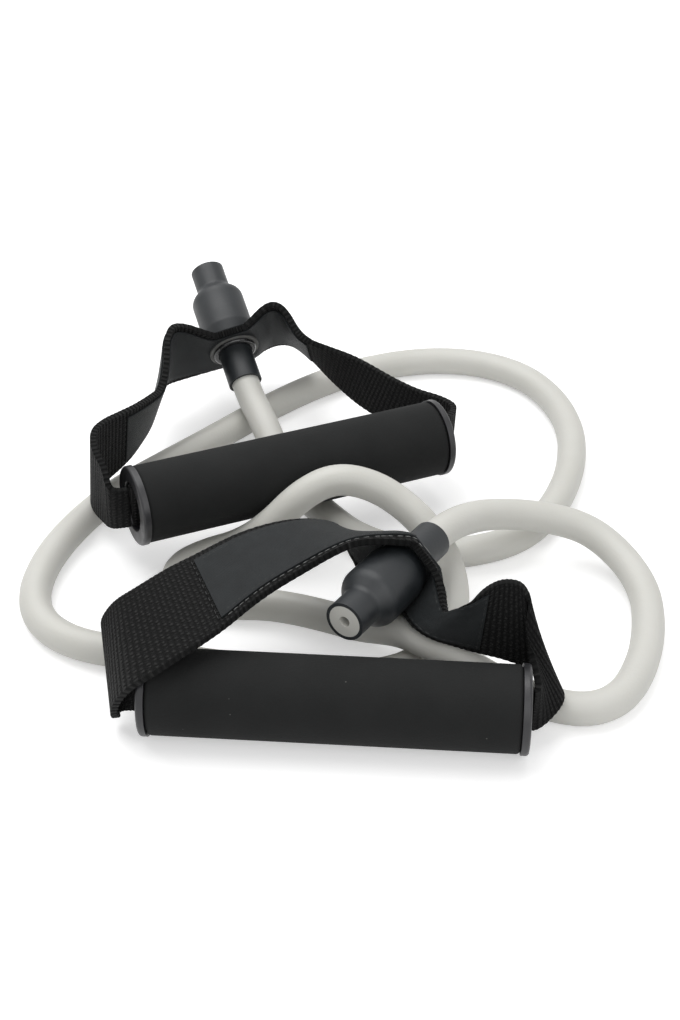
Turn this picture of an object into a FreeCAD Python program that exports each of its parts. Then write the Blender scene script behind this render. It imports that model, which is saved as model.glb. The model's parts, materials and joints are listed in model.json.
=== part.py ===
"""Resistance band: a latex tube with a foam-gripped D handle on each end, lying in a loose heap.

Frame: +Z up, the floor at Z = 0, +Y away from the front handle, origin under the middle of the
two handles.  Millimetres.  Each handle is a grip (core, foam and two caps) that turns on a
webbing strap; the strap's grommet carries a rubber stopper, and the tube runs from one stopper
to the other.
"""
import FreeCAD, Part
import Sketcher
import math
import os

V = FreeCAD.Vector
doc = FreeCAD.newDocument("resistance_band")

# ---------------------------------------------------------------- driving dimensions
SIZES = (
    ("grip_length", 131.0),        # over both end caps
    ("grip_diameter", 30.0),       # foam
    ("foam_round", 3.0),
    ("core_diameter", 24.0),
    ("core_wall", 1.5),
    ("cap_diameter", 31.0),
    ("cap_thickness", 2.8),
    ("cap_round", 1.1),
    ("cap_spigot", 9.0),
    ("cap_wall", 1.1),
    ("press_clearance", 0.05),
    ("web_width", 38.0),
    ("web_thickness", 2.3),
    ("fold_width", 16.8),          # the webbing folded double inside the grip
    ("fold_reach", 1.0),           # how far the fold stands out of the grip
    ("seam_overlap", 26.0),        # the strap's two ends, sewn over each other
    ("patch_width", 32.0),
    ("patch_thickness", 0.6),
    ("layer_clearance", 0.08),
    ("eyelet_clearance", 0.35),    # between the sleeve and the eyelet round it
    ("eyelet_wall", 0.7),
    ("eyelet_flange", 0.9),
    ("eyelet_roll", 1.3),
    ("washer_diameter", 22.0),
    ("washer_thickness", 0.9),
    ("seat_length", 26.0),         # flat stretch of strap under the grommet
    ("tube_diameter", 12.0),
    ("tube_bore", 4.0),
    ("rear_lead", 8.0),            # the tube's straight start out of each sleeve
    ("front_lead", 11.0),
    ("sleeve_wall", 1.25),
    ("sleeve_length", 60.0),
    ("neck_length", 11.0),
    ("bulb_length", 27.0),
    ("bulb_diameter", 22.8),
    ("bulb_shoulder", 4.5),
    ("bulb_foot", 5.0),
    ("bulb_round", 5.0),
    ("neck_round", 3.0),
    ("plug_length", 17.0),
    ("plug_diameter", 10.6),
    ("swivel_clearance", 0.3),
)

sizes = doc.addObject("Spreadsheet::Sheet", "sizes")
for row, (alias, value) in enumerate(SIZES, start=1):
    sizes.set("A%d" % row, alias)
    sizes.set("B%d" % row, str(value))
    sizes.setAlias("B%d" % row, alias)
doc.recompute()


def size(alias):
    """The sheet's value, for the pieces that are shaped by Part's own functions."""
    return float(sizes.get(alias))


# ---------------------------------------------------------------- where the two handles lie
HEAP_ORIGIN = V(-10.0, 116.8, 0.0)     # the part's origin, seen from under the front grip


def place(x, y, z):
    return V(x, y, z) - HEAP_ORIGIN


class Lie:
    """How one handle lies: its grip's middle and left-to-right direction, its stopper's cut
    end and direction, and how far the strap is rolled about the stopper."""

    def __init__(self, name, grip_middle, grip_along, cut_end, stopper_along, strap_roll):
        self.name = name
        self.grip_middle = place(*grip_middle)
        self.grip_along = V(*grip_along).normalize()
        self.cut_end = place(*cut_end)
        self.stopper_along = V(*stopper_along).normalize()
        self.strap_roll = strap_roll


FRONT = Lie("front", (0.0, 0.9, 15.5), (132.5, -9.9, 0.0),
            (3.2, 18.6, 35.0), (0.534, 0.844, -0.04), 42.0)
REAR = Lie("rear", (-17.6, 122.4, 27.6), (117.0, 53.0, -3.0),
           (-57.7, 249.0, 50.2), (0.3, -0.8, -0.46), 0.0)

# The strap's two rims, from the left cap round to the right cap: (first rim, second rim),
# placed round a grip of this length; on another length they move out with the caps.
GRIP_LENGTH_PLACED = 131.0
# The stretch under the grommet is worked out from the stopper, and stands at None.
FRONT_RIMS = (
    ((-74.0, 8.0, 4.5), (-74.0, 17.0, 26.5)),
    ((-77.0, 6.0, 3.5), (-79.0, 24.0, 25.0)),
    ((-77.5, 2.0, 9.5), (-80.5, 25.5, 30.0)),
    ((-73.8, -4.0, 19.8), (-77.8, 26.5, 34.5)),
    ((-67.8, -7.6, 29.8), (-74.8, 27.5, 37.5)),
    ((-60.0, -6.5, 34.5), (-70.5, 29.5, 39.5)),
    ((-52.5, -2.0, 38.0), (-65.0, 34.0, 41.0)),
    ((-45.0, 4.0, 39.5), (-58.5, 40.0, 42.0)),
    ((-37.4, 11.5, 40.5), (-51.5, 46.0, 42.0)),
    ((-30.2, 20.0, 42.0), (-44.0, 54.5, 41.0)),
    ((-22.3, 27.5, 43.5), (-34.6, 63.0, 40.5)),
    ((-10.7, 34.5, 46.5), (-21.5, 69.5, 40.5)),
    ((-0.5, 41.0, 50.0), (-8.5, 73.0, 40.0)),
    ((10.0, 45.0, 53.0), (2.0, 72.5, 37.0)),
    None,
    ((43.0, 34.5, 39.5), (22.5, 46.0, 18.0)),
    ((41.5, 28.5, 39.0), (24.0, 35.0, 25.5)),
    ((41.0, 23.5, 39.5), (26.5, 27.0, 28.5)),
    ((43.5, 20.5, 41.5), (33.0, 23.0, 28.0)),
    ((48.0, 19.5, 45.0), (41.0, 22.0, 25.0)),
    ((53.5, 19.0, 49.0), (49.0, 22.5, 20.5)),
    ((59.0, 18.5, 51.0), (58.5, 22.0, 17.0)),
    ((64.0, 14.5, 48.5), (68.0, 17.0, 15.5)),
    ((68.0, 8.5, 41.5), (75.5, 10.0, 14.8)),
    ((71.5, 1.0, 31.0), (78.0, 1.0, 12.0)),
)
REAR_RIMS = (
    ((-86.0, 98.5, 17.0), (-85.0, 92.5, 39.0)),
    ((-90.0, 108.5, 13.0), (-86.5, 98.5, 44.5)),
    ((-95.6, 118.0, 12.0), (-91.5, 107.0, 47.5)),
    ((-97.6, 128.0, 12.0), (-93.2, 117.5, 49.0)),
    ((-94.0, 137.0, 13.0), (-89.5, 125.5, 49.0)),
    ((-88.9, 144.5, 14.0), (-84.4, 132.5, 48.0)),
    ((-84.0, 153.5, 15.0), (-78.8, 140.5, 46.5)),
    ((-79.1, 167.2, 16.0), (-74.8, 151.7, 44.0)),
    ((-75.0, 181.6, 16.5), (-72.0, 163.5, 43.5)),
    ((-71.7, 195.5, 16.5), (-70.1, 176.0, 44.5)),
    ((-67.8, 208.5, 15.5), (-67.0, 190.0, 46.5)),
    None,
    ((-26.5, 243.0, 17.5), (-25.0, 218.0, 49.0)),
    ((-20.0, 238.0, 19.5), (-20.5, 212.5, 49.5)),
    ((-14.8, 229.5, 21.0), (-16.5, 203.5, 47.0)),
    ((-9.0, 218.5, 21.5), (-10.5, 197.5, 44.5)),
    ((-3.0, 208.0, 20.0), (-2.5, 197.0, 40.5)),
    ((3.0, 199.5, 18.0), (7.5, 194.0, 38.5)),
    ((9.8, 191.5, 16.0), (17.0, 187.5, 37.5)),
    ((19.0, 183.5, 14.5), (25.5, 180.0, 36.5)),
    ((31.0, 178.5, 13.5), (35.0, 175.0, 36.0)),
    ((42.0, 173.5, 14.5), (44.0, 170.0, 35.0)),
    ((49.0, 165.0, 15.5), (50.0, 162.0, 34.5)),
)
FRONT_PATCH = (0.30, 0.80)     # the shares of the strap's sections that the patch covers
REAR_PATCH = (0.23, 0.72)
SEAT_SHARES = (-0.5, -0.33, 0.0, 0.33, 0.5)
SECTIONS_PER_STATION = 1.5

# The tube's route from the rear stopper to the front one, and how near the two ends come.
ROUTE = (
    (-30.8, 178.5, 15.5), (-24.5, 162.0, 8.5), (-19.0, 149.0, 6.0), (-12.5, 136.0, 6.0),
    (-3.5, 122.5, 6.0), (7.0, 108.5, 6.0), (21.0, 99.5, 6.0), (37.0, 96.0, 6.0),
    (54.0, 98.0, 6.0), (70.0, 105.0, 6.0), (82.0, 118.0, 6.0), (91.5, 136.0, 6.0),
    (98.5, 158.0, 6.0), (101.5, 184.0, 6.0), (97.5, 209.0, 6.0), (87.0, 230.0, 6.0),
    (69.0, 243.0, 6.0), (46.0, 247.0, 6.0), (21.0, 241.5, 6.0), (-3.0, 229.0, 6.0),
    (-27.0, 208.0, 6.0), (-49.0, 183.0, 6.0), (-69.0, 161.5, 6.0), (-88.0, 141.0, 6.0),
    (-102.0, 118.0, 6.0), (-111.0, 94.0, 6.0), (-113.5, 71.0, 6.0), (-108.0, 52.0, 6.0),
    (-94.0, 39.5, 6.0), (-72.0, 34.0, 6.0), (-45.0, 28.5, 6.0), (-18.0, 24.5, 6.0),
    (5.0, 23.5, 6.0), (20.0, 25.5, 6.0), (32.5, 34.0, 6.0), (40.5, 47.0, 6.5),
    (44.0, 62.0, 9.0), (43.0, 76.5, 14.5), (37.0, 90.0, 20.0), (27.5, 98.0, 27.0),
    (14.5, 101.0, 34.0), (0.0, 100.0, 37.0), (-13.0, 97.0, 31.5), (-25.0, 95.5, 20.0),
    (-37.0, 97.0, 10.0), (-50.0, 96.5, 6.2), (-60.0, 88.0, 6.0), (-60.5, 75.5, 6.0),
    (-51.0, 67.0, 6.0), (-38.0, 65.0, 6.0), (-26.0, 65.0, 6.0), (-14.0, 62.0, 6.0),
    (-1.0, 57.0, 6.0), (9.0, 51.0, 7.0), (17.0, 43.0, 12.5), (24.5, 34.0, 18.3),
    (33.0, 26.5, 19.3), (43.5, 22.3, 14.5), (55.0, 20.0, 8.3), (69.0, 17.0, 6.0),
    (87.5, 15.5, 6.0), (99.5, 22.0, 6.0), (108.5, 35.0, 6.0), (113.0, 52.0, 6.0),
    (112.2, 70.0, 7.0), (105.0, 86.0, 10.0), (93.0, 96.5, 15.0), (79.0, 100.5, 19.5),
    (65.0, 98.0, 24.0), (53.0, 91.0, 28.0),
)
BEND_SHARE = 0.45          # of the shorter run beside a bend, taken by its arc

nodes = []                 # the sub-parts, in the order they are put together


# ---------------------------------------------------------------- turned pieces
def turned_form(name, corners, rounds=()):
    """A solid of revolution about its own Z: corners are (radius, height) expressions, and
    rounds are (corner number, radius expression) pairs for the edges that are rounded."""
    body = doc.addObject("PartDesign::Body", name)
    plane = [item for item in body.Origin.OriginFeatures if item.Role == "XZ_Plane"][0]
    sketch = body.newObject("Sketcher::SketchObject", name + "_profile")
    sketch.AttachmentSupport = [(plane, "")]
    sketch.MapMode = "FlatFace"
    doc.recompute()
    spots = [tuple(float(sketch.evalExpression(term)) for term in corner) for corner in corners]
    count = len(spots)
    for index in range(count):
        start = V(*spots[index], 0)
        end = V(*spots[(index + 1) % count], 0)
        sketch.addGeometry(Part.LineSegment(start, end), False)
    for index in range(count):
        sketch.addConstraint(Sketcher.Constraint("Coincident", index, 2, (index + 1) % count, 1))
    for index, corner in enumerate(corners):
        for axis, kind in ((0, "DistanceX"), (1, "DistanceY")):
            if abs(spots[index][axis]) < 1e-9:
                on_axis = -2 if axis == 0 else -1
                sketch.addConstraint(Sketcher.Constraint("PointOnObject", index, 1, on_axis))
                continue
            number = sketch.addConstraint(
                Sketcher.Constraint(kind, -1, 1, index, 1, spots[index][axis]))
            sketch.setExpression("Constraints[%d]" % number, corner[axis])
    turned = body.newObject("PartDesign::Revolution", name + "_turned")
    turned.Profile = sketch
    turned.ReferenceAxis = (sketch, ["V_Axis"])
    turned.Angle = 360
    doc.recompute()
    previous = turned
    for corner_number, radius in rounds:
        fillet = body.newObject("PartDesign::Fillet", "%s_round_%d" % (name, corner_number))
        edge = ring_edge(previous.Shape, *spots[corner_number])
        fillet.Base = (previous, [edge])
        fillet.setExpression("Radius", radius)
        doc.recompute()
        previous = fillet
    return body


def ring_edge(shape, radius, height):
    """The name of the round edge at this radius and height."""
    for number, edge in enumerate(shape.Edges, start=1):
        round_edge = isinstance(edge.Curve, Part.Circle)
        if round_edge and abs(edge.Curve.Radius - radius) < 1e-4 \
                and abs(edge.Curve.Center.z - height) < 1e-4:
            return "Edge%d" % number
    raise ValueError("no edge of radius %.2f at %.2f" % (radius, height))


def stand(body, label, foot, along):
    """Stand a turned piece on its foot, its own Z along the given direction."""
    body.Label = label
    body.Placement = FreeCAD.Placement(foot, FreeCAD.Rotation(V(0, 0, 1), along))
    nodes.append(body)


def cut(name, base, tools):
    """Base less each tool in turn, all in the base's own frame."""
    for number, tool in enumerate(tools, start=1):
        result = doc.addObject("Part::Cut", "%s_cut_%d" % (name, number))
        result.Base = base
        result.Tool = tool
        base = result
    return base


# ---------------------------------------------------------------- the grip
def make_grip(lie):
    name = lie.name
    along = lie.grip_along
    half = size("grip_length") / 2
    left = lie.grip_middle - along * half
    right = lie.grip_middle + along * half
    core = turned_form(name + "_core_form", (
        ("sizes.core_diameter / 2 - sizes.core_wall", "0"),
        ("sizes.core_diameter / 2", "0"),
        ("sizes.core_diameter / 2", "sizes.grip_length - 2 * sizes.cap_thickness"),
        ("sizes.core_diameter / 2 - sizes.core_wall",
         "sizes.grip_length - 2 * sizes.cap_thickness")))
    stand(core, name + "_grip_core", left + along * size("cap_thickness"), along)
    foam = turned_form(name + "_foam_form", (
        ("sizes.core_diameter / 2", "0"),
        ("sizes.grip_diameter / 2", "0"),
        ("sizes.grip_diameter / 2", "sizes.grip_length - 2 * sizes.cap_thickness"),
        ("sizes.core_diameter / 2", "sizes.grip_length - 2 * sizes.cap_thickness")),
        rounds=((1, "sizes.foam_round * 0.5"), (2, "sizes.foam_round * 0.5")))
    stand(foam, name + "_foam_grip", left + along * size("cap_thickness"), along)
    spigot = "sizes.core_diameter / 2 - sizes.core_wall - sizes.press_clearance"
    inside = spigot + " - sizes.cap_wall"
    for side, mouth, inward in (("left", left, along), ("right", right, along * -1)):
        cap = turned_form("%s_cap_form_%s" % (name, side), (
            (inside, "0"),
            ("sizes.cap_diameter / 2", "0"),
            ("sizes.cap_diameter / 2", "sizes.cap_thickness"),
            (spigot, "sizes.cap_thickness"),
            (spigot, "sizes.cap_thickness + sizes.cap_spigot"),
            (inside, "sizes.cap_thickness + sizes.cap_spigot")),
            rounds=((1, "sizes.cap_round"), (0, "sizes.cap_wall * 0.8")))
        stand(cap, "%s_end_cap_%s" % (name, side), mouth, inward)


# ---------------------------------------------------------------- the stopper
def make_stopper(lie):
    name = lie.name
    outer = (
        ("0", "0"),
        ("sizes.tube_diameter / 2 + sizes.sleeve_wall", "0"),
        ("sizes.tube_diameter / 2 + sizes.sleeve_wall", "sizes.neck_length"),
        ("sizes.bulb_diameter / 2", "sizes.neck_length + sizes.bulb_shoulder"),
        ("sizes.bulb_diameter / 2", "sizes.neck_length + sizes.bulb_length - sizes.bulb_foot"),
        ("sizes.bulb_diameter / 2 - sizes.sleeve_wall", "sizes.neck_length + sizes.bulb_length"),
        ("sizes.tube_diameter / 2 + sizes.sleeve_wall", "sizes.neck_length + sizes.bulb_length"),
        ("sizes.tube_diameter / 2 + sizes.sleeve_wall", "sizes.sleeve_length"),
        ("0", "sizes.sleeve_length"))
    inner = (
        ("0", "0"),
        ("sizes.tube_diameter / 2", "0"),
        ("sizes.tube_diameter / 2", "sizes.neck_length + sizes.sleeve_wall"),
        ("sizes.bulb_diameter / 2 - sizes.sleeve_wall",
         "sizes.neck_length + sizes.bulb_shoulder + sizes.sleeve_wall"),
        ("sizes.bulb_diameter / 2 - sizes.sleeve_wall",
         "sizes.neck_length + sizes.bulb_length - sizes.bulb_foot - sizes.sleeve_wall"),
        ("sizes.tube_diameter / 2", "sizes.neck_length + sizes.bulb_length - sizes.sleeve_wall"),
        ("sizes.tube_diameter / 2", "sizes.sleeve_length"),
        ("0", "sizes.sleeve_length"))
    rounds = ((3, "sizes.bulb_round"), (4, "sizes.bulb_round * 0.6"), (2, "sizes.neck_round"))
    outer_form = turned_form(name + "_sleeve_form", outer, rounds)
    inner_form = turned_form(name + "_sleeve_bore", inner,
                             ((3, "sizes.bulb_round - sizes.sleeve_wall"),))
    tube_form = turned_form(name + "_tube_form", inner,
                            ((3, "sizes.bulb_round - sizes.sleeve_wall"),))
    stand(cut(name + "_sleeve", outer_form, (inner_form,)), name + "_stopper_sleeve",
          lie.cut_end, lie.stopper_along)
    middle = "sizes.neck_length + sizes.bulb_length / 2"
    plugs = []
    for use in ("cavity", "plug"):
        plug = doc.addObject("Part::Ellipsoid", "%s_%s_form" % (name, use))
        plug.setExpression("Radius1", "sizes.plug_length / 2")
        plug.setExpression("Radius2", "sizes.plug_diameter / 2")
        plug.setExpression("Radius3", "sizes.plug_diameter / 2")
        plugs.append(plug)
    plugs[0].setExpression("Placement.Base.z", middle)
    bore = doc.addObject("Part::Cylinder", name + "_tube_bore")
    bore.setExpression("Radius", "sizes.tube_bore / 2")
    bore.setExpression("Height", "sizes.sleeve_length")
    stand(cut(name + "_tube_end", tube_form, (plugs[0], bore)), name + "_tube_end",
          lie.cut_end, lie.stopper_along)
    to_middle = size("neck_length") + size("bulb_length") / 2
    stand(plugs[1], name + "_stopper_plug", lie.cut_end + lie.stopper_along * to_middle,
          lie.stopper_along)


# ---------------------------------------------------------------- the grommet
def grommet_foot(lie):
    """Where the eyelet's flange begins: just past the foot of the bulb."""
    reach = size("neck_length") + size("bulb_length") + size("swivel_clearance")
    return lie.cut_end + lie.stopper_along * reach


def strap_middle(lie):
    """The middle of the webbing's thickness, on the stopper's axis."""
    reach = size("eyelet_flange") + size("layer_clearance") + size("web_thickness") / 2
    return grommet_foot(lie) + lie.stopper_along * reach


def make_grommet(lie):
    name = lie.name
    bore = "sizes.tube_diameter / 2 + sizes.sleeve_wall + sizes.eyelet_clearance"
    barrel = bore + " + sizes.eyelet_wall"
    stack = "sizes.eyelet_flange + sizes.web_thickness + sizes.patch_thickness" \
            " + sizes.washer_thickness + 3 * sizes.layer_clearance"
    eyelet = turned_form(name + "_eyelet_form", (
        (bore, "0"),
        ("sizes.washer_diameter / 2", "0"),
        ("sizes.washer_diameter / 2", "sizes.eyelet_flange"),
        (barrel, "sizes.eyelet_flange"),
        (barrel, stack),
        (barrel + " + sizes.eyelet_roll", stack),
        (barrel + " + sizes.eyelet_roll", stack + " + sizes.eyelet_roll"),
        (bore, stack + " + sizes.eyelet_roll")),
        rounds=((6, "sizes.eyelet_roll * 0.8"), (1, "sizes.eyelet_flange * 0.6")))
    stand(eyelet, name + "_grommet_eyelet", grommet_foot(lie), lie.stopper_along)
    washer = turned_form(name + "_washer_form", (
        (barrel, "0"),
        ("sizes.washer_diameter / 2", "0"),
        ("sizes.washer_diameter / 2", "sizes.washer_thickness"),
        (barrel, "sizes.washer_thickness")),
        rounds=((2, "sizes.washer_thickness * 0.5"),))
    reach = size("eyelet_flange") + size("web_thickness") + size("patch_thickness")
    reach += 3 * size("layer_clearance")
    stand(washer, name + "_grommet_washer", grommet_foot(lie) + lie.stopper_along * reach,
          lie.stopper_along)


# ---------------------------------------------------------------- the strap and its patch
def seat_rims(lie, first_up):
    """Rims of the flat stretch under the grommet, square to the stopper."""
    turn = FreeCAD.Rotation(lie.stopper_along, lie.strap_roll)
    level = V(0, 0, 1).cross(lie.stopper_along).normalize()
    if level.dot(lie.grip_along) < 0:
        level = level * -1
    run = turn.multVec(level)
    up = lie.stopper_along.cross(run).normalize()
    if up.z < 0:
        up = up * -1
    half = up * (size("web_width") / 2 * first_up)
    rims = []
    for share in SEAT_SHARES:
        spot = strap_middle(lie) + run * (size("seat_length") * share)
        rims.append((spot + half, spot - half))
    return rims


def strap_rims(lie, rims, first_up):
    """The rims and thickness at each hand-placed station, from one cap's mouth to the other's.
    first_up is +1 where the first rim is the upper one under the grommet."""
    half_fold = V(0, 0, size("fold_width") / 2)
    double = 2 * size("web_thickness")
    ends = []
    for side, reaches in ((-1, (1, 3)), (1, (3, 1))):
        mouth = lie.grip_middle + lie.grip_along * (side * size("grip_length") / 2)
        tall = half_fold * (first_up if side > 0 else -1)
        for reach in reaches:
            spot = mouth + lie.grip_along * (side * reach * size("fold_reach"))
            ends.append((spot + tall, spot - tall, double))
    placed = []
    seat = rims.index(None)
    growth = (size("grip_length") - GRIP_LENGTH_PLACED) / 2
    for index, pair in enumerate(rims):
        if pair is None:
            placed += seat_rims(lie, first_up)
        else:
            run = index / seat if index < seat else (len(rims) - 1 - index) / (len(rims) - 1 - seat)
            side = -1 if index < seat else 1
            shift = lie.grip_along * (side * growth * min(1.0, 1.5 * (1 - run)))
            placed.append((place(*pair[0]) + shift, place(*pair[1]) + shift))
    between = [(first, second, size("web_thickness")) for first, second in placed]
    return ends[:2] + between + ends[2:]


def strap_sections(lie, rims, first_up):
    """Evenly eased cross-sections: middle, width direction, facing, width and thickness."""
    stations = strap_rims(lie, rims, first_up)
    curves = []
    for poles in ([station[0] for station in stations], [station[1] for station in stations],
                  [V(station[2], 0, 0) for station in stations]):
        curve = Part.BSplineCurve()
        curve.buildFromPoles(poles, False, 2)
        curves.append(curve)
    count = int(SECTIONS_PER_STATION * (len(stations) - 2))
    rows = [[curve.value(step / count) for curve in curves] for step in range(count + 1)]
    sections = []
    for index, (first, second, thick) in enumerate(rows):
        middle = (first + second) * 0.5
        before = rows[max(index - 1, 0)]
        after = rows[min(index + 1, count)]
        run = after[0] + after[1] - before[0] - before[1]
        across = (second - first).normalize()
        facing = run.cross(across).normalize()
        sections.append((middle, across, facing, (second - first).Length, thick.x))
    return sections


def band_of(sections, share=1.0, low=None, high=None):
    """A solid band over the sections: share of their width, from low to high off the middle."""
    wires = []
    for middle, across, facing, width, thick in sections:
        bottom = -thick / 2 if low is None else low
        top = thick / 2 if high is None else high
        half = width / 2 * share
        corners = [middle + across * w + facing * h
                   for w, h in ((half, top), (-half, top), (-half, bottom), (half, bottom))]
        wires.append(Part.makePolygon(corners + corners[:1]))
    return Part.makeLoft(wires, True, True)


def bored(lie, solid):
    """The solid with the hole that the eyelet's barrel goes through."""
    radius = size("tube_diameter") / 2 + size("sleeve_wall") + size("eyelet_clearance")
    radius += size("eyelet_wall")
    start = grommet_foot(lie) - lie.stopper_along * 6
    hole = Part.makeCylinder(radius, 18, start, lie.stopper_along)
    return solid.cut(hole).Solids[0]


def grip_run(lie, length, width, thick):
    """A straight flat length of webbing on the grip's axis."""
    facing = lie.grip_along.cross(V(0, 0, 1)).normalize()
    sections = [(lie.grip_middle + lie.grip_along * (length / 2 * side), V(0, 0, 1), facing,
                 width, thick) for side in (-1, 1)]
    return band_of(sections)


def make_strap(lie, rims, first_up, patch_span):
    """The webbing loop, its folded run through the grip and the patch over its outside."""
    sections = strap_sections(lie, rims, first_up)
    fold_length = size("grip_length") + 2 * size("fold_reach")
    double = 2 * size("web_thickness")
    folded = grip_run(lie, fold_length, size("fold_width"), double)
    seam = grip_run(lie, size("seam_overlap"), size("fold_width") * 0.9, double * 1.5)
    strap = doc.addObject("Part::Feature", lie.name + "_strap")
    strap.Shape = bored(lie, band_of(sections).fuse(folded).fuse(seam))
    nodes.append(strap)
    middle = strap_middle(lie)
    seat = min(range(len(sections)), key=lambda i: (sections[i][0] - middle).Length)
    outward = 1 if sections[seat][2].dot(lie.stopper_along) > 0 else -1
    low = outward * (size("web_thickness") / 2 + size("layer_clearance"))
    high = low + outward * size("patch_thickness")
    start, end = [int(share * (len(sections) - 1)) for share in patch_span]
    patch = doc.addObject("Part::Feature", lie.name + "_patch")
    cover = band_of(sections[start:end], size("patch_width") / size("web_width"),
                    min(low, high), max(low, high))
    patch.Shape = bored(lie, cover)
    nodes.append(patch)


# ---------------------------------------------------------------- the tube
def tube_route():
    """The route's points, with the two sleeves' ends and a straight start out of each."""
    ends = []
    for lie in (REAR, FRONT):
        ends.append(lie.cut_end + lie.stopper_along * size("sleeve_length"))
    out_of_rear = ends[0] + REAR.stopper_along * size("rear_lead")
    out_of_front = ends[1] + FRONT.stopper_along * size("front_lead")
    points = [ends[0], out_of_rear] + [place(*point) for point in ROUTE]
    points += [out_of_front, ends[1]]
    return points


def bent_path(points):
    """Straight runs joined by tangent arcs, each as large as its two runs allow."""
    edges = []
    radii = []
    start = points[0]
    for index in range(1, len(points) - 1):
        corner = points[index]
        back = points[index - 1] - corner
        ahead = points[index + 1] - corner
        reach = BEND_SHARE * min(back.Length, ahead.Length)
        back.normalize()
        ahead.normalize()
        half_turn = (math.pi - back.getAngle(ahead)) / 2
        radius = reach / math.tan(half_turn)
        bend_start = corner + back * reach
        bend_end = corner + ahead * reach
        towards = (back + ahead).normalize()
        middle = corner + towards * (radius / math.cos(half_turn) - radius)
        edges.append(Part.LineSegment(start, bend_start).toShape())
        edges.append(Part.Arc(bend_start, middle, bend_end).toShape())
        radii.append(radius)
        start = bend_end
    edges.append(Part.LineSegment(start, points[-1]).toShape())
    return Part.Wire(edges), radii


def make_tube():
    points = tube_route()
    path, radii = bent_path(points)
    first_run = (points[1] - points[0]).normalize()
    section = Part.Wire(Part.makeCircle(size("tube_diameter") / 2, points[0], first_run))
    tube = doc.addObject("Part::Feature", "tube")
    tube.Shape = path.makePipeShell([section], True, True)
    nodes.append(tube)
    expected = math.pi * (size("tube_diameter") / 2) ** 2 * path.Length
    print("tube %.0f mm long, volume %.4f of section times length"
          % (path.Length, tube.Shape.Volume / expected))
    print("bend radii (mm):", " ".join("%.0f" % radius for radius in radii))


# ---------------------------------------------------------------- assembly and files
for lie, rims, first_up, patch_span in ((FRONT, FRONT_RIMS, 1, FRONT_PATCH),
                                        (REAR, REAR_RIMS, -1, REAR_PATCH)):
    make_grip(lie)
    make_strap(lie, rims, first_up, patch_span)
    make_grommet(lie)
    make_stopper(lie)
make_tube()
doc.recompute()

for item in doc.Objects:
    if "Invalid" in item.State or "Error" in item.State:
        raise RuntimeError("%s failed: %s" % (item.Label, item.State))
os.makedirs("parts", exist_ok=True)
for node in nodes:
    if node.Shape.isNull() or not node.Shape.isValid():
        raise RuntimeError("%s has no valid shape" % node.Label)
    if len(node.Shape.Solids) != 1:
        raise RuntimeError("%s has %d solids" % (node.Label, len(node.Shape.Solids)))
    node.Shape.exportStep("parts/%s.step" % node.Label)
print("%d nodes written" % len(nodes))
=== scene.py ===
import json
import math

import bmesh
import bpy
from mathutils import Matrix, Vector


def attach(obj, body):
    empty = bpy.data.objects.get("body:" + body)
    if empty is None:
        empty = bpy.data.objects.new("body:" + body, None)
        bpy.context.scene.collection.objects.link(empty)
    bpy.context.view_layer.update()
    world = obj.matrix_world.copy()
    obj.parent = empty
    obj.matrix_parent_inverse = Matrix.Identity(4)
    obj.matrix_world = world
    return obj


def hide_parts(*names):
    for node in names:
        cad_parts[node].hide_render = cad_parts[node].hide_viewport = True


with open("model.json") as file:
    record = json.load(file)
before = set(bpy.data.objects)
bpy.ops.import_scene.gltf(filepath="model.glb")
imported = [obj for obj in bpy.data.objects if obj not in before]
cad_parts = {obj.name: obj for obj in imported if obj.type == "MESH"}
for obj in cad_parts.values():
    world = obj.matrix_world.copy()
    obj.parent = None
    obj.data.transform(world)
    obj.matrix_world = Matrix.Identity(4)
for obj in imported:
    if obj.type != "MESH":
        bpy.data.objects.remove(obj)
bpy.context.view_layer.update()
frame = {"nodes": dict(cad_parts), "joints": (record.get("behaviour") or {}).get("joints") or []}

# ------------------------------------------------------------------ the elastic tube
# A plain 12 mm latex tube, 1.3 m long, in warm light grey with a soft dull skin.
# It runs from the rear stopper round two loops and one tight fold to the front stopper.
TUBE_DIAMETER = 0.012
SLEEVE_LENGTH = 0.06

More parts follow.
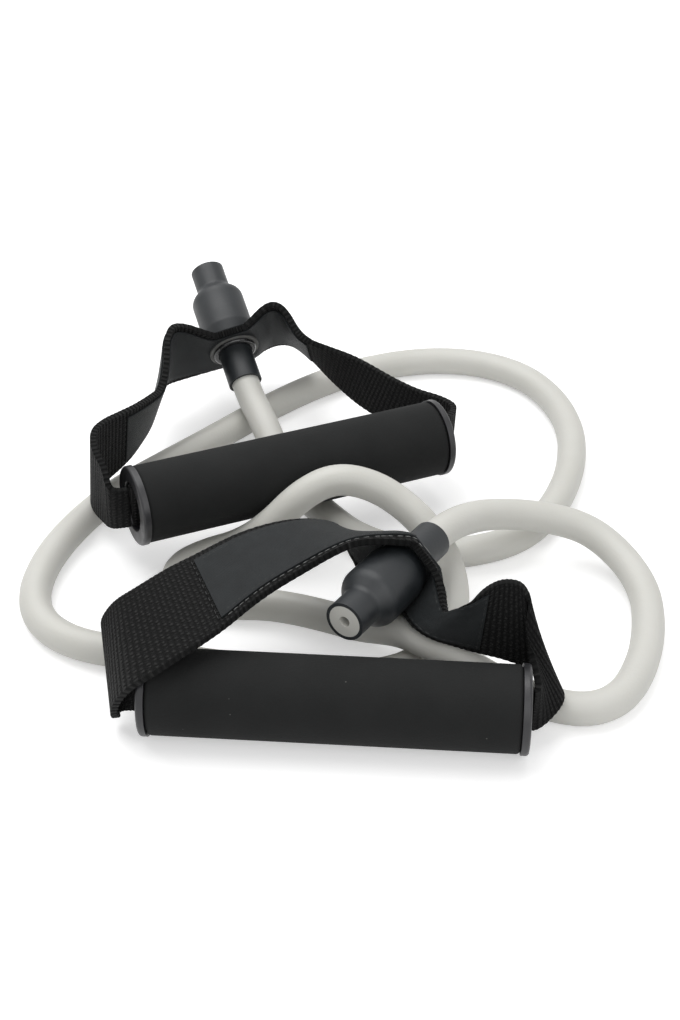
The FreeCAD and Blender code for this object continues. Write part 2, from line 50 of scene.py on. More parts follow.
# How far the tube runs straight on out of each sleeve, and its way between the two.
REAR_LEAD = 0.008
FRONT_LEAD = 0.011
TUBE_ROUTE = (
    (-0.0208, 0.0617, 0.0155), (-0.0145, 0.0452, 0.0085), (-0.0090, 0.0322, 0.0060),
    (-0.0025, 0.0192, 0.0060), (0.0065, 0.0057, 0.0060), (0.0170, -0.0083, 0.0060),
    (0.0310, -0.0173, 0.0060), (0.0470, -0.0208, 0.0060), (0.0640, -0.0188, 0.0060),
    (0.0800, -0.0118, 0.0060), (0.0920, 0.0012, 0.0060), (0.1015, 0.0192, 0.0060),
    (0.1085, 0.0412, 0.0060), (0.1115, 0.0672, 0.0060), (0.1075, 0.0922, 0.0060),
    (0.0970, 0.1132, 0.0060), (0.0790, 0.1262, 0.0060), (0.0560, 0.1302, 0.0060),
    (0.0310, 0.1247, 0.0060), (0.0070, 0.1122, 0.0060), (-0.0170, 0.0912, 0.0060),
    (-0.0390, 0.0662, 0.0060), (-0.0590, 0.0447, 0.0060), (-0.0780, 0.0242, 0.0060),
    (-0.0920, 0.0012, 0.0060), (-0.1010, -0.0228, 0.0060), (-0.1035, -0.0458, 0.0060),
    (-0.0980, -0.0633, 0.0060), (-0.0840, -0.0752, 0.0060), (-0.0620, -0.0806, 0.0060),
    (-0.0350, -0.0868, 0.0060), (-0.0080, -0.0923, 0.0060), (0.0150, -0.0933, 0.0060),
    (0.0300, -0.0913, 0.0060), (0.0425, -0.0828, 0.0060), (0.0505, -0.0698, 0.0065),
    (0.0540, -0.0548, 0.0090), (0.0530, -0.0403, 0.0145), (0.0470, -0.0268, 0.0200),
    (0.0375, -0.0188, 0.0270), (0.0245, -0.0158, 0.0352), (0.0100, -0.0168, 0.0393),
    (-0.0030, -0.0198, 0.0335), (-0.0150, -0.0213, 0.0200), (-0.0270, -0.0198, 0.0100),
    (-0.0400, -0.0203, 0.0062), (-0.0500, -0.0288, 0.0060), (-0.0505, -0.0413, 0.0060),
    (-0.0410, -0.0498, 0.0060), (-0.0280, -0.0518, 0.0060), (-0.0160, -0.0518, 0.0060),
    (-0.0040, -0.0548, 0.0060), (0.0090, -0.0598, 0.0060), (0.0190, -0.0658, 0.0070),
    (0.0270, -0.0738, 0.0125), (0.0345, -0.0828, 0.0183), (0.0430, -0.0903, 0.0193),
    (0.0535, -0.0945, 0.0145), (0.0663, -0.0992, 0.0085), (0.0823, -0.1073, 0.0060),
    (0.0977, -0.1109, 0.0060), (0.1101, -0.1037, 0.0060), (0.1193, -0.0861, 0.0060),
    (0.1248, -0.0653, 0.0060), (0.1261, -0.0445, 0.0070), (0.1195, -0.0278, 0.0105),
    (0.1074, -0.0164, 0.0155), (0.0910, -0.0154, 0.0200), (0.0750, -0.0188, 0.0240),
    (0.0630, -0.0258, 0.0280),
)


def turning_line(joint_name):
    """A joint's place and direction."""
    joint = next(joint for joint in frame["joints"] if joint["name"] == joint_name)
    return Vector(joint["pos_m"]), Vector(joint["axis"]).normalized()


def new_finish(name, colour, roughness):
    """A fresh material, its node tree and its shader. Links may take over what is set here."""
    material = bpy.data.materials.new(name)
    material.use_nodes = True
    shader = material.node_tree.nodes["Principled BSDF"]
    shader.inputs["Base Color"].default_value = (*colour, 1)
    shader.inputs["Roughness"].default_value = roughness
    return material, material.node_tree, shader


def node(tree, kind, links=(), **values):
    """Adds a node. values name its sockets or properties, and links are (socket, output)."""
    made = tree.nodes.new(kind)
    for name, value in values.items():
        socket = made.inputs.get(name.replace("_", " ").title())
        if socket is None:
            setattr(made, name, value)
        else:
            socket.default_value = value
    for socket, output in links:
        tree.links.new(output, made.inputs[socket])
    return made


def own_place(tree):
    """The piece's own coordinates, in metres."""
    return node(tree, "ShaderNodeTexCoord").outputs["Object"]


def speckle(tree, place, scale, detail=3.0):
    """Fine even noise from 0 to 1."""
    noise = node(tree, "ShaderNodeTexNoise", [("Vector", place)], scale=scale, detail=detail)
    return noise.outputs["Fac"]


def shades(tree, factor, stops):
    """Turns a 0 to 1 value into greys or colours at the given stops."""
    ramp = node(tree, "ShaderNodeValToRGB", [("Fac", factor)])
    while len(ramp.color_ramp.elements) < len(stops):
        ramp.color_ramp.elements.new(0.5)
    for element, (position, colour) in zip(ramp.color_ramp.elements, stops):
        element.position = position
        element.color = (*colour, 1)
    return ramp.outputs["Color"]


def relief(tree, shader, height, distance):
    """Raises the surface where height is large. distance is the full height in metres."""
    bump = node(tree, "ShaderNodeBump", [("Height", height)], distance=distance)
    tree.links.new(bump.outputs["Normal"], shader.inputs["Normal"])


def place_object(name, data):
    """Puts a new object for the mesh, curve, lamp or camera into the scene."""
    made = bpy.data.objects.new(name, data)
    bpy.context.collection.objects.link(made)
    return made


def latex_finish():
    """Pale rubber, a little cloudy, with a fine dull grain."""
    material, tree, shader = new_finish("tube latex", (0.57, 0.565, 0.53), 0.5)
    place = own_place(tree)
    cloud = speckle(tree, place, 22.0, 4.0)
    grain = speckle(tree, place, 900.0, 2.0)
    tint = shades(tree, cloud, ((0.25, (0.53, 0.525, 0.485)), (0.75, (0.6, 0.595, 0.56))))
    tree.links.new(tint, shader.inputs["Base Color"])
    dull = shades(tree, cloud, ((0.3, (0.42, 0.42, 0.42)), (0.7, (0.56, 0.56, 0.56))))
    tree.links.new(dull, shader.inputs["Roughness"])
    shader.inputs["Subsurface Weight"].default_value = 0.12
    shader.inputs["Subsurface Radius"].default_value = (0.002, 0.0018, 0.0015)
    relief(tree, shader, grain, 0.00006)
    return material


latex = latex_finish()
line = bpy.data.curves.new("elastic_tube", "CURVE")
line.dimensions = "3D"
line.resolution_u = 8
line.bevel_depth = TUBE_DIAMETER / 2
line.bevel_resolution = 8
line.use_fill_caps = True
spline = line.splines.new("NURBS")
rear_cut, rear_along = turning_line("rear_stopper_swivel")
front_cut, front_along = turning_line("front_stopper_swivel")
rear_end = rear_cut + rear_along * SLEEVE_LENGTH
front_end = front_cut + front_along * SLEEVE_LENGTH
route = [rear_end, rear_end + rear_along * REAR_LEAD, *TUBE_ROUTE,
         front_end + front_along * FRONT_LEAD, front_end]
spline.points.add(len(route) - 1)
for point, spot in zip(spline.points, route):
    point.co = (*spot, 1)
spline.order_u = 3
spline.use_endpoint_u = True
tube = place_object("elastic_tube", line)
tube.data.materials.append(latex)
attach(tube, "tube_and_straps")
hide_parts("tube")

# ------------------------------------------------------------------ the foam grips
# Each grip is a black foam sleeve, 30 mm thick, pushed over a plastic core tube.
# The foam is fine-celled and matte, with pale specks of lint caught in its skin.


def foam_finish():
    """Matte black foam with scuffs and small pale dots of lint."""
    material, tree, shader = new_finish("grip foam", (0.0075, 0.008, 0.008), 0.85)
    shader.inputs["Specular IOR Level"].default_value = 0.25
    place = own_place(tree)
    cells = speckle(tree, place, 1400.0, 3.0)
    scuffs = speckle(tree, place, 60.0, 5.0)
    lint = node(tree, "ShaderNodeTexVoronoi", [("Vector", place)], scale=95.0)
    dots = shades(tree, lint.outputs["Distance"], ((0.014, (1, 1, 1)), (0.028, (0, 0, 0))))
    base = shades(tree, scuffs, ((0.3, (0.0065, 0.007, 0.007)), (0.75, (0.0105, 0.011, 0.011))))
    tint = node(tree, "ShaderNodeMix", [("Factor", dots), ("A", base)], data_type="RGBA")
    tint.inputs["B"].default_value = (0.09, 0.09, 0.085, 1)
    tree.links.new(tint.outputs["Result"], shader.inputs["Base Color"])
    relief(tree, shader, cells, 0.00012)
    return material


def dress(name, material):
    """Gives a carried-over node its finish."""
    part = frame["nodes"][name]
    part.data.materials.clear()
    part.data.materials.append(material)


foam = foam_finish()
for end in ("front", "rear"):
    dress(end + "_foam_grip", foam)

# ------------------------------------------------------------------ grip cores and end caps
# A plain black plastic core carries the foam, and a turned cap closes each end with a
# rounded satin rim. The strap goes in at one cap's mouth and out at the other.


def cap_finish():
    """Moulded black plastic, rubbed in places."""
    material, tree, shader = new_finish("cap plastic", (0.016, 0.016, 0.018), 0.36)
    place = own_place(tree)
    marks = speckle(tree, place, 260.0, 4.0)
    dull = shades(tree, marks, ((0.3, (0.3, 0.3, 0.3)), (0.7, (0.46, 0.46, 0.46))))
    tree.links.new(dull, shader.inputs["Roughness"])
    relief(tree, shader, speckle(tree, place, 1500.0), 0.00003)
    return material


cap_plastic = cap_finish()
for end in ("front", "rear"):
    for piece in ("grip_core", "end_cap_left", "end_cap_right"):
        dress("%s_%s" % (end, piece), cap_plastic)

# ------------------------------------------------------------------ the webbing straps
# Each strap is 38 mm ribbed webbing, 2.3 mm thick, sewn into a loop through the grip, with
# its run inside the grip folded double. A smooth satin tape is sewn over the outside.
WEB_WIDTH = 0.038
WEB_THICKNESS = 0.0023
GRIP_LENGTH = 0.131

# Inside the grip the strap is folded to this height, and its layers part at the top.
FOLD_HEIGHT = 0.0168
FOLD_SPREAD = 0.6
FOLD_SHARES = (-0.5, -0.17, 0.17, 0.5)
MOUTH_REACHES = (0.001, 0.003)

# The flat seat under each grommet: its length, its roll in degrees, and 1 where the first
# rim is the upper one. CURLS has each rim's lift off the seat and its pull inwards.
SEAT_FROM_CUT_END = 0.04043
SEAT_SHARES = (-0.5, -0.33, 0.0, 0.33, 0.5)
SEATS = {"front": (0.020, 42.0, 1), "rear": (0.022, 14.0, -1)}
CURLS = {"front": ((-0.006, 0.0035), (-0.001, 0.0)), "rear": ((-0.001, 0.003), (0.003, 0.002))}
RIM_ROUNDING = 0.009

# Both rims of each strap from the left cap round to the right cap, with SEAT where the
# stations of the seat go in.
SEAT = None
FRONT_RIMS = (
    ((-0.0640, -0.1088, 0.0045), (-0.0640, -0.0998, 0.0265)),
    ((-0.0650, -0.1118, 0.0030), (-0.0690, -0.0928, 0.0250)),
    ((-0.0655, -0.1158, 0.0090), (-0.0700, -0.0913, 0.0300)),
    ((-0.0625, -0.1213, 0.0195), (-0.0672, -0.0903, 0.0345)),
    ((-0.0568, -0.1250, 0.0290), (-0.0640, -0.0893, 0.0375)),
    ((-0.0495, -0.1240, 0.0335), (-0.0597, -0.0873, 0.0392)),
    ((-0.0418, -0.1198, 0.0368), (-0.0540, -0.0828, 0.0405)),
    ((-0.0342, -0.1138, 0.0383), (-0.0475, -0.0768, 0.0412)),
    ((-0.0266, -0.1063, 0.0393), (-0.0405, -0.0708, 0.0412)),
    ((-0.0194, -0.0978, 0.0408), (-0.0330, -0.0623, 0.0402)),
    ((-0.0117, -0.0903, 0.0425), (-0.0238, -0.0538, 0.0397)),
    ((-0.0007, -0.0833, 0.0455), (-0.0110, -0.0473, 0.0397)),
    ((0.0095, -0.0772, 0.0485), (0.0015, -0.0443, 0.0390)),
    ((0.0190, -0.0735, 0.0510), (0.0110, -0.0448, 0.0365)),
    SEAT,
    ((0.0475, -0.0830, 0.0372), (0.0315, -0.0715, 0.0187)),
    ((0.0480, -0.0885, 0.0343), (0.0338, -0.0818, 0.0256)),
    ((0.0491, -0.0925, 0.0325), (0.0362, -0.0915, 0.0272)),
    ((0.0531, -0.0950, 0.0375), (0.0425, -0.0958, 0.0260)),
    ((0.0572, -0.0965, 0.0439), (0.0505, -0.0962, 0.0235)),
    ((0.0616, -0.0970, 0.0493), (0.0588, -0.0955, 0.0198)),
    ((0.0670, -0.0975, 0.0523), (0.0684, -0.0950, 0.0168)),
    ((0.0734, -0.0985, 0.0513), (0.0782, -0.0987, 0.0152)),
    ((0.0751, -0.1000, 0.0432), (0.0849, -0.1060, 0.0158)),
    ((0.0745, -0.1010, 0.0345), (0.0874, -0.1130, 0.0145)),
    ((0.0765, -0.1060, 0.0260), (0.0860, -0.1170, 0.0122)),
)
REAR_RIMS = (
    ((-0.0760, -0.0183, 0.0170), (-0.0750, -0.0243, 0.0390)),
    ((-0.0800, -0.0083, 0.0130), (-0.0765, -0.0183, 0.0445)),
    ((-0.0856, 0.0012, 0.0120), (-0.0815, -0.0098, 0.0475)),
    ((-0.0876, 0.0112, 0.0120), (-0.0832, 0.0007, 0.0490)),
    ((-0.0840, 0.0202, 0.0130), (-0.0795, 0.0087, 0.0487)),
    ((-0.0789, 0.0277, 0.0140), (-0.0744, 0.0157, 0.0475)),
    ((-0.0741, 0.0367, 0.0150), (-0.0689, 0.0237, 0.0461)),
    ((-0.0697, 0.0520, 0.0160), (-0.0638, 0.0349, 0.0439)),
    ((-0.0684, 0.0656, 0.0165), (-0.0603, 0.0440, 0.0422)),
    ((-0.0674, 0.0779, 0.0170), (-0.0594, 0.0560, 0.0475)),
    ((-0.0657, 0.0889, 0.0175), (-0.0602, 0.0700, 0.0533)),
    ((-0.0594, 0.0942, 0.0170), (-0.0569, 0.0800, 0.0530)),
    SEAT,
    ((-0.0205, 0.1212, 0.0185), (-0.0192, 0.0985, 0.0527)),
    ((-0.0133, 0.1218, 0.0200), (-0.0123, 0.0955, 0.0518)),
    ((-0.0064, 0.1156, 0.0210), (-0.0075, 0.0867, 0.0455)),
    ((0.0005, 0.1030, 0.0215), (-0.0023, 0.0807, 0.0435)),
    ((0.0070, 0.0915, 0.0200), (0.0074, 0.0802, 0.0399)),
    ((0.0135, 0.0824, 0.0180), (0.0176, 0.0772, 0.0377)),
    ((0.0203, 0.0741, 0.0160), (0.0269, 0.0707, 0.0356)),
    ((0.0290, 0.0660, 0.0145), (0.0356, 0.0632, 0.0342)),
    ((0.0410, 0.0612, 0.0135), (0.0446, 0.0582, 0.0323)),
    ((0.0520, 0.0562, 0.0130), (0.0536, 0.0532, 0.0324)),
    ((0.0590, 0.0482, 0.0140), (0.0597, 0.0452, 0.0329)),
)

# The rims are drawn in this many steps a station, each step's weft loop standing out by
# RIM_NUB. COLUMNS are the shares of the width at which the cloth has a vertex.
EDGE_STEPS = 8
RIM_NUB = 0.0001
COLUMNS = (0.0, 0.08, 0.16, 0.27, 0.38, 0.5, 0.62, 0.73, 0.84, 0.92, 1.0)


def seat_rims(end):
    """The rims where the strap lies flat under the grommet, with each rim's curl off it."""
    length, roll, first_up = SEATS[end]
    cut_end, along = turning_line(end + "_stopper_swivel")
    grip_along = turning_line(end + "_grip_turn")[1]
    middle = cut_end + along * SEAT_FROM_CUT_END
    level = Vector((0, 0, 1)).cross(along).normalized()
    if level.dot(grip_along) < 0:
        level = -level
    run = Matrix.Rotation(math.radians(roll), 3, along) @ level
    up = along.cross(run).normalized()
    half = up * (math.copysign(WEB_WIDTH / 2, up.z) * first_up)
    curls = [along * lift - half.normalized() * side * inward
             for side, (lift, inward) in zip((1, -1), CURLS[end])]
    return [(middle + run * length * share + half, middle + run * length * share - half,
             *[curl - run * share * RIM_ROUNDING for curl in curls])
            for share in SEAT_SHARES]


def eased_line(points):
    """A smooth line that has the points as its control points."""
    curve = bpy.data.curves.new("rim", "CURVE")
    curve.dimensions = "3D"
    curve.resolution_u = EDGE_STEPS
    rim = curve.splines.new("NURBS")
    rim.points.add(len(points) - 1)
    for point, spot in zip(rim.points, points):
        point.co = (*spot, 1)
    rim.order_u = 3
    rim.use_endpoint_u = True
    holder = bpy.data.objects.new("rim", curve)
    mesh = bpy.data.meshes.new_from_object(holder)
    spots = [vertex.co.copy() for vertex in mesh.vertices]
    bpy.data.objects.remove(holder)
    bpy.data.meshes.remove(mesh)
    bpy.data.curves.remove(curve)
    return spots


def strap_stations(end, rims):
    """Both rims and their curls, from one cap's mouth round to the other's."""
    middle, along = turning_line(end + "_grip_turn")
    first_up = SEATS[end][2]
    tall = Vector((0, 0, FOLD_HEIGHT / 2))
    flat = (Vector(), Vector())
    stations = []
    for reach in MOUTH_REACHES:
        spot = middle - along * (GRIP_LENGTH / 2 + reach)
        stations.append((spot - tall, spot + tall, *flat))
    for pair in rims:
        if pair is SEAT:
            stations += seat_rims(end)
        else:
            stations.append((Vector(pair[0]), Vector(pair[1]), *flat))
    for reach in reversed(MOUTH_REACHES):
        spot = middle + along * (GRIP_LENGTH / 2 + reach)
        stations.append((spot + tall * first_up, spot - tall * first_up, *flat))
    return list(zip(*[eased_line(line) for line in zip(*stations)]))


def strap_row(station, shares, scallop=0.0):
    """Spots across the strap at the given shares of its width. Only the outer parts curl."""
    first, second, first_curl, second_curl = station
    nub = (second - first).normalized() * scallop
    first, second = first - nub, second + nub
    return [first.lerp(second, share) + first_curl * max(0, 1 - 2 * share) ** 3
            + second_curl * max(0, 2 * share - 1) ** 3 for share in shares]


def add_strip(bm, rows, across):
    """Grows a strip of faces from row to row, and returns its length. across has each
    column's place on the cloth."""
    layer = bm.loops.layers.uv.verify()
    edge_verts = [bm.verts.new(spot) for spot in rows[0]]
    edges = [bm.edges.new(pair) for pair in zip(edge_verts, edge_verts[1:])]
    cloth = {vert: (place, 0.0) for vert, place in zip(edge_verts, across)}
    done = 0.0
    for before, row in zip(rows, rows[1:]):
        grown = bmesh.ops.extrude_edge_only(bm, edges=edges)["geom"]
        fresh = [item for item in grown if isinstance(item, bmesh.types.BMVert)]
        ahead = [min(fresh, key=lambda vert: (vert.co - old.co).length) for old in edge_verts]
        centre = len(row) // 2
        done += (row[centre] - before[centre]).length
        for vert, spot, place in zip(ahead, row, across):
            vert.co = spot
            cloth[vert] = (place, done)
        edge_verts = ahead
        edges = [bm.edges.get(pair) for pair in zip(ahead, ahead[1:])]
    for vert in cloth:
        for loop in vert.link_loops:
            loop[layer].uv = cloth[vert]
    return done


def lifted(rows, height):
    """The rows moved square off their own surface."""
    moved = []
    for index, row in enumerate(rows):
        before = rows[max(index - 1, 0)]
        after = rows[min(index + 1, len(rows) - 1)]
        fresh = []
        for column, spot in enumerate(row):
            run = after[column] - before[column]
            across = row[min(column + 1, len(row) - 1)] - row[max(column - 1, 0)]
            fresh.append(spot + run.cross(across).normalized() * height)
        moved.append(fresh)
    return moved


def cloth_piece(name, bm, material, thickness):
    """Makes the strip a piece with the cloth's thickness and soft rims."""
    mesh = bpy.data.meshes.new(name)
    bm.to_mesh(mesh)
    bm.free()
    mesh.shade_smooth()
    piece = place_object(name, mesh)
    mesh.materials.append(material)
    wall = piece.modifiers.new("thickness", "SOLIDIFY")
    wall.thickness = thickness
    wall.offset = 0
    rim = piece.modifiers.new("rim", "BEVEL")
    rim.width = thickness * 0.3
    rim.segments = 2
    rim.limit_method = "ANGLE"
    rim.angle_limit = math.radians(50)
    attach(piece, "tube_and_straps")
    return piece


def bands(tree, place, direction, pitch, wobble):
    """Even ridges of the given pitch in metres: at scale 1 a wave repeats every tau / 20."""
    wave = node(tree, "ShaderNodeTexWave", [("Vector", place)], scale=math.tau / 20 / pitch,
                distortion=wobble, detail=2.0, detail_scale=1.5)
    wave.wave_type = "BANDS"
    wave.bands_direction = direction
    return wave.outputs["Fac"]


def sums(tree, operation, first, second):
    """One step of arithmetic on values or outputs."""
    made = tree.nodes.new("ShaderNodeMath")
    made.operation = operation
    for socket, value in zip(made.inputs, (first, second)):
        if isinstance(value, (int, float)):
            socket.default_value = value
        else:
            tree.links.new(value, socket)
    return made.outputs["Value"]


def webbing_finish():
    """Black webbing with ribs across it, broken into beads by the warp, and some fuzz. Its colour
    carries painted shade in the furrows and a painted highlight on the bead tops.
    """
    material, tree, shader = new_finish("strap webbing", (0.007, 0.007, 0.0072), 0.8)
    cloth = node(tree, "ShaderNodeUVMap").outputs["UV"]
    ribs = bands(tree, cloth, "Y", 0.0021, 0.8)
    beads = bands(tree, cloth, "X", 0.0016, 2.2)
    skewed = bands(tree, cloth, "DIAGONAL", 0.0017, 2.0)
    knots = sums(tree, "MULTIPLY", beads, skewed)
    height = sums(tree, "ADD", sums(tree, "MULTIPLY", ribs, 0.45),
                  sums(tree, "MULTIPLY", sums(tree, "MULTIPLY", ribs, knots), 1.1))
    fuzz = speckle(tree, cloth, 2300.0, 3.0)
    height = sums(tree, "ADD", height, sums(tree, "MULTIPLY", fuzz, 0.4))
    # Painted shade darkens the furrows and a painted highlight brightens the bead tops, both
    # following the relief's height.
    tint = shades(tree, height, ((0.25, (0.002, 0.0021, 0.0021)), (0.75, (0.007, 0.0072, 0.0072)),
                                 (1.0, (0.02, 0.02, 0.0195))))
    tree.links.new(tint, shader.inputs["Base Color"])
    shader.inputs["Specular IOR Level"].default_value = 0.12
    shader.inputs["Sheen Weight"].default_value = 0.03
    shader.inputs["Sheen Roughness"].default_value = 0.5
    relief(tree, shader, height, 0.0009)
    return material


webbing = webbing_finish()
straps = {}
for end, rims in (("front", FRONT_RIMS), ("rear", REAR_RIMS)):
    straps[end] = strap_stations(end, rims)
    rows = [strap_row(station, COLUMNS, RIM_NUB * (-1) ** index)
            for index, station in enumerate(straps[end])]
    bm = bmesh.new()
    outside = add_strip(bm, rows, [(share - 0.5) * WEB_WIDTH for share in COLUMNS])
    middle, along = turning_line(end + "_grip_turn")
    side = along.cross(Vector((0, 0, 1))).normalized() * WEB_THICKNESS * FOLD_SPREAD
    tall = Vector((0, 0, FOLD_HEIGHT / 2))
    folded = []
    for share in FOLD_SHARES:
        spot = middle + along * (GRIP_LENGTH * share)
        folded.append((spot + tall + side, spot - tall, spot + tall - side))
    inside = add_strip(bm, folded, (-WEB_WIDTH / 2, 0.0, WEB_WIDTH / 2))
    strap = cloth_piece(end + "_webbing", bm, webbing, WEB_THICKNESS)
    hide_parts(end + "_strap")

# ------------------------------------------------------------------ the satin tapes
# A smooth woven tape, 32 mm wide, covers the outside of each strap about the grommet, and
# a lining of the same tape backs it. Both are sewn down along their long edges.
TAPE_WIDTH = 0.032
TAPE_THICKNESS = 0.0006

# The tape lies this many times as far off the webbing's middle as if it touched.
TAPE_EASE = 1.05

# How far along each strap its tapes start and stop, and how far in from the rims they lie.
TAPE_SPANS = {"front": (0.30, 0.80), "rear": (0.23, 0.72)}
TAPE_MARGIN = (1 - TAPE_WIDTH / WEB_WIDTH) / 2


def tape_ends(end, stations):
    """The stations at which a strap's tapes start and stop."""
    return [int(share * (len(stations) - 1)) for share in TAPE_SPANS[end]]


def outward_side(end, stations):
    """1 or -1: the side of the strap that faces the tube, which is a handle's outside."""
    cut_end, along = turning_line(end + "_stopper_swivel")
    seat = min(range(1, len(stations) - 1), key=lambda index: (
        stations[index][0].lerp(stations[index][1], 0.5) - cut_end
        - along * SEAT_FROM_CUT_END).length)
    run = stations[seat + 1][0] - stations[seat - 1][0]
    across = stations[seat][1] - stations[seat][0]
    return math.copysign(1.0, run.cross(across).dot(along))


def satin_finish():
    """Smooth black tape with fine threads both ways and faint rumples."""
    material, tree, shader = new_finish("satin tape", (0.009, 0.011, 0.0118), 0.55)
    cloth = node(tree, "ShaderNodeUVMap").outputs["UV"]
    threads = bands(tree, cloth, "X", 0.0004, 0.3)
    picks = bands(tree, cloth, "Y", 0.0005, 0.3)
    height = sums(tree, "ADD", sums(tree, "MULTIPLY", threads, 0.5),
                  sums(tree, "MULTIPLY", picks, 0.5))
    rumple = speckle(tree, cloth, 120.0, 3.0)
    tint = shades(tree, rumple, ((0.3, (0.007, 0.0085, 0.0093)), (0.75, (0.0125, 0.015, 0.0163))))
    tree.links.new(tint, shader.inputs["Base Color"])
    shader.inputs["Specular IOR Level"].default_value = 0.18
    shader.inputs["Sheen Weight"].default_value = 0.02
    relief(tree, shader, sums(tree, "ADD", height, rumple), 0.00012)
    return material


satin = satin_finish()
for end, stations in straps.items():
    start, stop = tape_ends(end, stations)
    shares = [TAPE_MARGIN + share * (1 - 2 * TAPE_MARGIN) for share in COLUMNS]
    covered = [strap_row(station, shares) for station in stations[start:stop + 1]]
    outward = outward_side(end, stations)
    for name, side in (("tape", outward), ("lining", -outward)):
        height = side * (WEB_THICKNESS + TAPE_THICKNESS) / 2 * TAPE_EASE
        bm = bmesh.new()
        length = add_strip(bm, lifted(covered, height),
                           [(share - 0.5) * TAPE_WIDTH for share in COLUMNS])
        tape = cloth_piece("%s_%s" % (end, name), bm, satin, TAPE_THICKNESS)
        if name == "tape":
            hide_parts(end + "_patch")

# ------------------------------------------------------------------ the sewing
# Both tapes are sewn through the webbing along their long edges and across their ends, with
# 3 mm lockstitches of black thread. A clear nylon strand shows beside one long edge.
STITCH_LENGTH = 0.0024
STITCH_PITCH = 0.003
THREAD = 0.00032
END_STITCHES = 10

# Each thread's place in the sewing's list of materials.
BLACK, CLEAR = 0, 1

# Shares of the strap's width: how far inside the tape's edge its seam runs, how far outside
# it the clear strand does, and the step to each side that shows how the cloth lies there.
SEAM_INSET = 0.04
CLEAR_OUTSET = 0.012
SIDE_STEP = 0.01

# The share of the tape's length along which the clear strand shows.
CLEAR_SPAN = 0.5


def thread_finish(name, colour, roughness):
    """Thread with its twist showing, with painted shade darker in the furrows."""
    material, tree, shader = new_finish(name, colour, roughness)
    place = own_place(tree)
    twist = bands(tree, place, "DIAGONAL", 0.0005, 1.0)
    # Painted shade: the furrows of the twist are darker than the thread's own colour.
    tint = shades(tree, twist, ((0.2, [part * 0.6 for part in colour]), (0.9, colour)))
    tree.links.new(tint, shader.inputs["Base Color"])
    relief(tree, shader, twist, 0.0001)
    return material


def sew(bm, spot, along, out, tone):
    """One stitch: a short strand, pulled down into the cloth at both ends."""
    along = along.normalized()
    across = out.cross(along).normalized()
    turn = Matrix((along, across, along.cross(across))).transposed().to_4x4()
    shape = Matrix.Diagonal((STITCH_LENGTH / 2, THREAD / 2, THREAD / 2, 1))
    made = bmesh.ops.create_uvsphere(bm, u_segments=6, v_segments=4, radius=1.0,
                                     matrix=Matrix.Translation(spot) @ turn @ shape)
    for face in {face for vert in made["verts"] for face in vert.link_faces}:
        face.smooth = True
        face.material_index = tone


def sew_along(bm, stations, share, tone):
    """A seam along both faces of the strap, at the given share of its width. The black
    thread lies on the tapes, and the clear strand beside them on the webbing."""
    rows = [strap_row(station, (share - SIDE_STEP, share, share + SIDE_STEP))
            for station in stations]
    stand = WEB_THICKNESS / 2 + (0 if tone == CLEAR else TAPE_THICKNESS)
    shown = int(len(rows) * CLEAR_SPAN) if tone == CLEAR else len(rows)
    for height in (-1, 1):
        raised = lifted(rows, height * stand)
        done, wanted = 0.0, STITCH_PITCH
        for before, row in zip(raised, raised[1:shown]):
            step = row[1] - before[1]
            done += step.length
            if done >= wanted:
                wanted += STITCH_PITCH
                out = step.cross(row[2] - row[0]) * height
                sew(bm, row[1], step, out, tone)


def sew_across(bm, stations, index):
    """A seam across both faces of the strap, where the tapes start or stop."""
    near = [strap_row(stations[beside], COLUMNS) for beside in (index - 1, index + 1)]
    run = stations[index + 1][0] - stations[index - 1][0]
    for height in (-1, 1):
        row = lifted(near, height * (WEB_THICKNESS / 2 + TAPE_THICKNESS))[0]
        for count in range(END_STITCHES):
            column = 1 + (count + 0.5) / END_STITCHES * (len(row) - 3)
            first, second = row[int(column)], row[int(column) + 1]
            step = second - first
            sew(bm, first.lerp(second, column % 1), step, step.cross(run), BLACK)


threads = (thread_finish("black thread", (0.02, 0.021, 0.021), 0.6),
           thread_finish("clear thread", (0.2, 0.205, 0.2), 0.4))
for end, stations in straps.items():
    start, stop = tape_ends(end, stations)
    taped = stations[start:stop + 1]
    bm = bmesh.new()
    for share in (TAPE_MARGIN + SEAM_INSET, 1 - (TAPE_MARGIN + SEAM_INSET)):
        sew_along(bm, taped, share, BLACK)
    if end == "front":
        sew_along(bm, taped, TAPE_MARGIN - CLEAR_OUTSET, CLEAR)
    for index in (start, stop):
        sew_across(bm, stations, index)
    mesh = bpy.data.meshes.new(end + "_sewing")
    bm.to_mesh(mesh)
    bm.free()
    sewing = place_object(end + "_sewing", mesh)
    for thread in threads:
        mesh.materials.append(thread)
    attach(sewing, "tube_and_straps")

# ------------------------------------------------------------------ the grommets
# A black enamelled eyelet is pushed through each strap from one face, and its barrel is
# rolled over a dull grey washer on the other, so that the stopper can't tear the cloth.


def enamel_finish():
    """Glossy black enamel, a little worn."""
    material, tree, shader = new_finish("eyelet enamel", (0.012, 0.012, 0.013), 0.22)
    place = own_place(tree)
    wear = speckle(tree, place, 420.0, 4.0)
    dull = shades(tree, wear, ((0.35, (0.14, 0.14, 0.14)), (0.7, (0.34, 0.34, 0.34))))
    tree.links.new(dull, shader.inputs["Roughness"])
    shader.inputs["Coat Weight"].default_value = 0.4
    shader.inputs["Coat Roughness"].default_value = 0.12
    relief(tree, shader, wear, 0.00005)
    return material


def washer_finish():
    """Dull grey plated metal."""
    material, tree, shader = new_finish("washer grey", (0.11, 0.11, 0.105), 0.55)
    place = own_place(tree)
    cloud = speckle(tree, place, 300.0, 3.0)
    tint = shades(tree, cloud, ((0.3, (0.085, 0.085, 0.08)), (0.7, (0.14, 0.14, 0.135))))
    tree.links.new(tint, shader.inputs["Base Color"])
    relief(tree, shader, cloud, 0.00004)
    return material


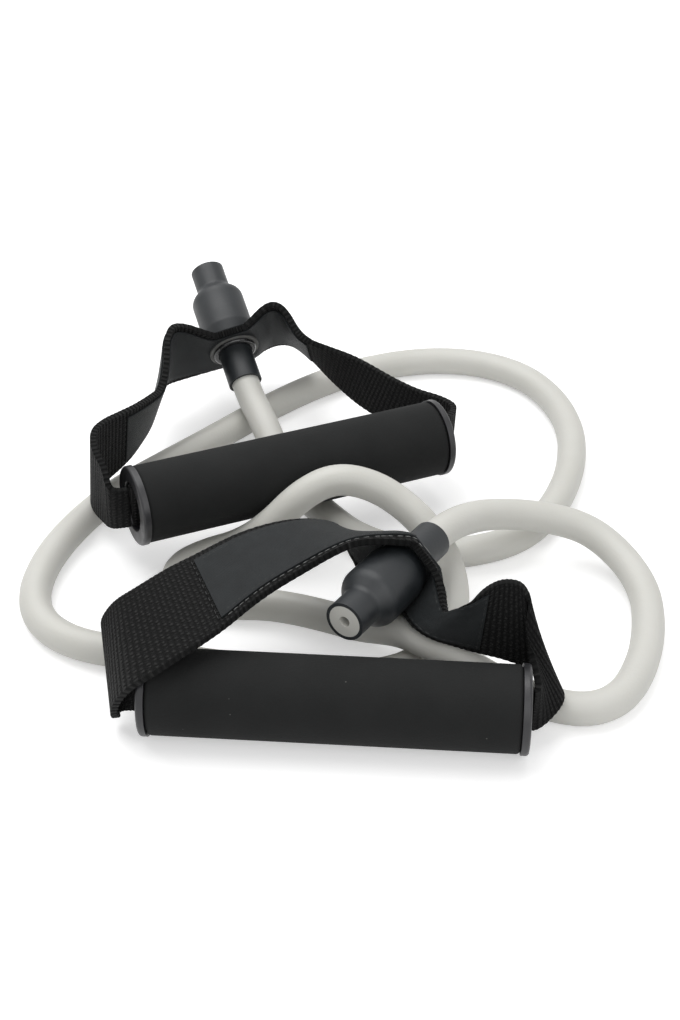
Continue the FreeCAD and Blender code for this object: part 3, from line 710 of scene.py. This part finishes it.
enamel = enamel_finish()
washer_grey = washer_finish()
for end in ("front", "rear"):
    dress(end + "_grommet_eyelet", enamel)
    dress(end + "_grommet_washer", washer_grey)

# ------------------------------------------------------------------ the stoppers
# A moulded rubber sleeve grips each tube end, and its bulb can't pass the grommet. A pale
# plug spreads the tube inside it, and shows at the cut end with the tube's small bore.


def moulded_rubber_finish():
    """Blue-black rubber with a faint bloom."""
    material, tree, shader = new_finish("stopper rubber", (0.012, 0.0145, 0.0165), 0.5)
    place = own_place(tree)
    bloom = speckle(tree, place, 130.0, 4.0)
    tint = shades(tree, bloom, ((0.3, (0.0095, 0.0115, 0.0135)), (0.8, (0.0165, 0.0195, 0.022))))
    tree.links.new(tint, shader.inputs["Base Color"])
    dull = shades(tree, bloom, ((0.3, (0.42, 0.42, 0.42)), (0.8, (0.6, 0.6, 0.6))))
    tree.links.new(dull, shader.inputs["Roughness"])
    relief(tree, shader, speckle(tree, place, 1100.0), 0.00005)
    return material


stopper_rubber = moulded_rubber_finish()
for end in ("front", "rear"):
    dress(end + "_stopper_sleeve", stopper_rubber)
    dress(end + "_tube_end", latex)
    dress(end + "_stopper_plug", latex)

# ------------------------------------------------------------------ floor, light and camera
# A plain white floor under a large soft lamp, with a weaker one in front. The floor and the
# sky look white to the camera and in reflections, and light the object at a plain level.
FLOOR_GLOW = 0.42
SKY_LIGHT = 0.45


def shown_rays(tree):
    """1 for rays that show the background, straight to the camera or in a reflection."""
    rays = node(tree, "ShaderNodeLightPath")
    return sums(tree, "MAXIMUM", rays.outputs["Is Camera Ray"], rays.outputs["Is Glossy Ray"])


def floor_finish():
    """Matte white that takes the shadow, raised to full white where it shows."""
    material, tree, shader = new_finish("floor", (0.8, 0.8, 0.8), 0.9)
    shader.inputs["Specular IOR Level"].default_value = 0.0
    glow = sums(tree, "MULTIPLY", shown_rays(tree), FLOOR_GLOW)
    tree.links.new(glow, shader.inputs["Emission Strength"])
    shader.inputs["Emission Color"].default_value = (1, 1, 1, 1)
    return material


bm = bmesh.new()
bmesh.ops.create_grid(bm, x_segments=1, y_segments=1, size=6.0)
floor_mesh = bpy.data.meshes.new("floor")
bm.to_mesh(floor_mesh)
bm.free()
floor = place_object("floor", floor_mesh)
floor.location.z = -0.0002
floor_mesh.materials.append(floor_finish())

for name, spot, width, power in (("overhead", (-0.35, 0.35, 1.3), 1.4, 17.0),
                                 ("front fill", (0.5, -1.1, 0.9), 1.2, 7.0)):
    lamp = bpy.data.lights.new(name, "AREA")
    lamp.size = width
    lamp.energy = power
    holder = place_object(name, lamp)
    holder.location = spot
    holder.rotation_euler = (-Vector(spot)).to_track_quat("-Z", "Y").to_euler()

world = bpy.data.worlds.new("studio")
bpy.context.scene.world = world
world.use_nodes = True
sky = world.node_tree.nodes["Background"]
sky.inputs["Color"].default_value = (1, 1, 1, 1)
extra = sums(world.node_tree, "MULTIPLY", shown_rays(world.node_tree), 1 - SKY_LIGHT)
white = sums(world.node_tree, "ADD", extra, SKY_LIGHT)
world.node_tree.links.new(white, sky.inputs["Strength"])

lens = bpy.data.cameras.new("camera")
lens.lens = 58.69
camera = place_object("camera", lens)
camera.location = (0.0117, -0.5383, 0.3894)
camera.rotation_euler = (math.radians(55.0), 0, 0)
bpy.context.scene.camera = camera
bpy.context.scene.view_settings.view_transform = "Standard"
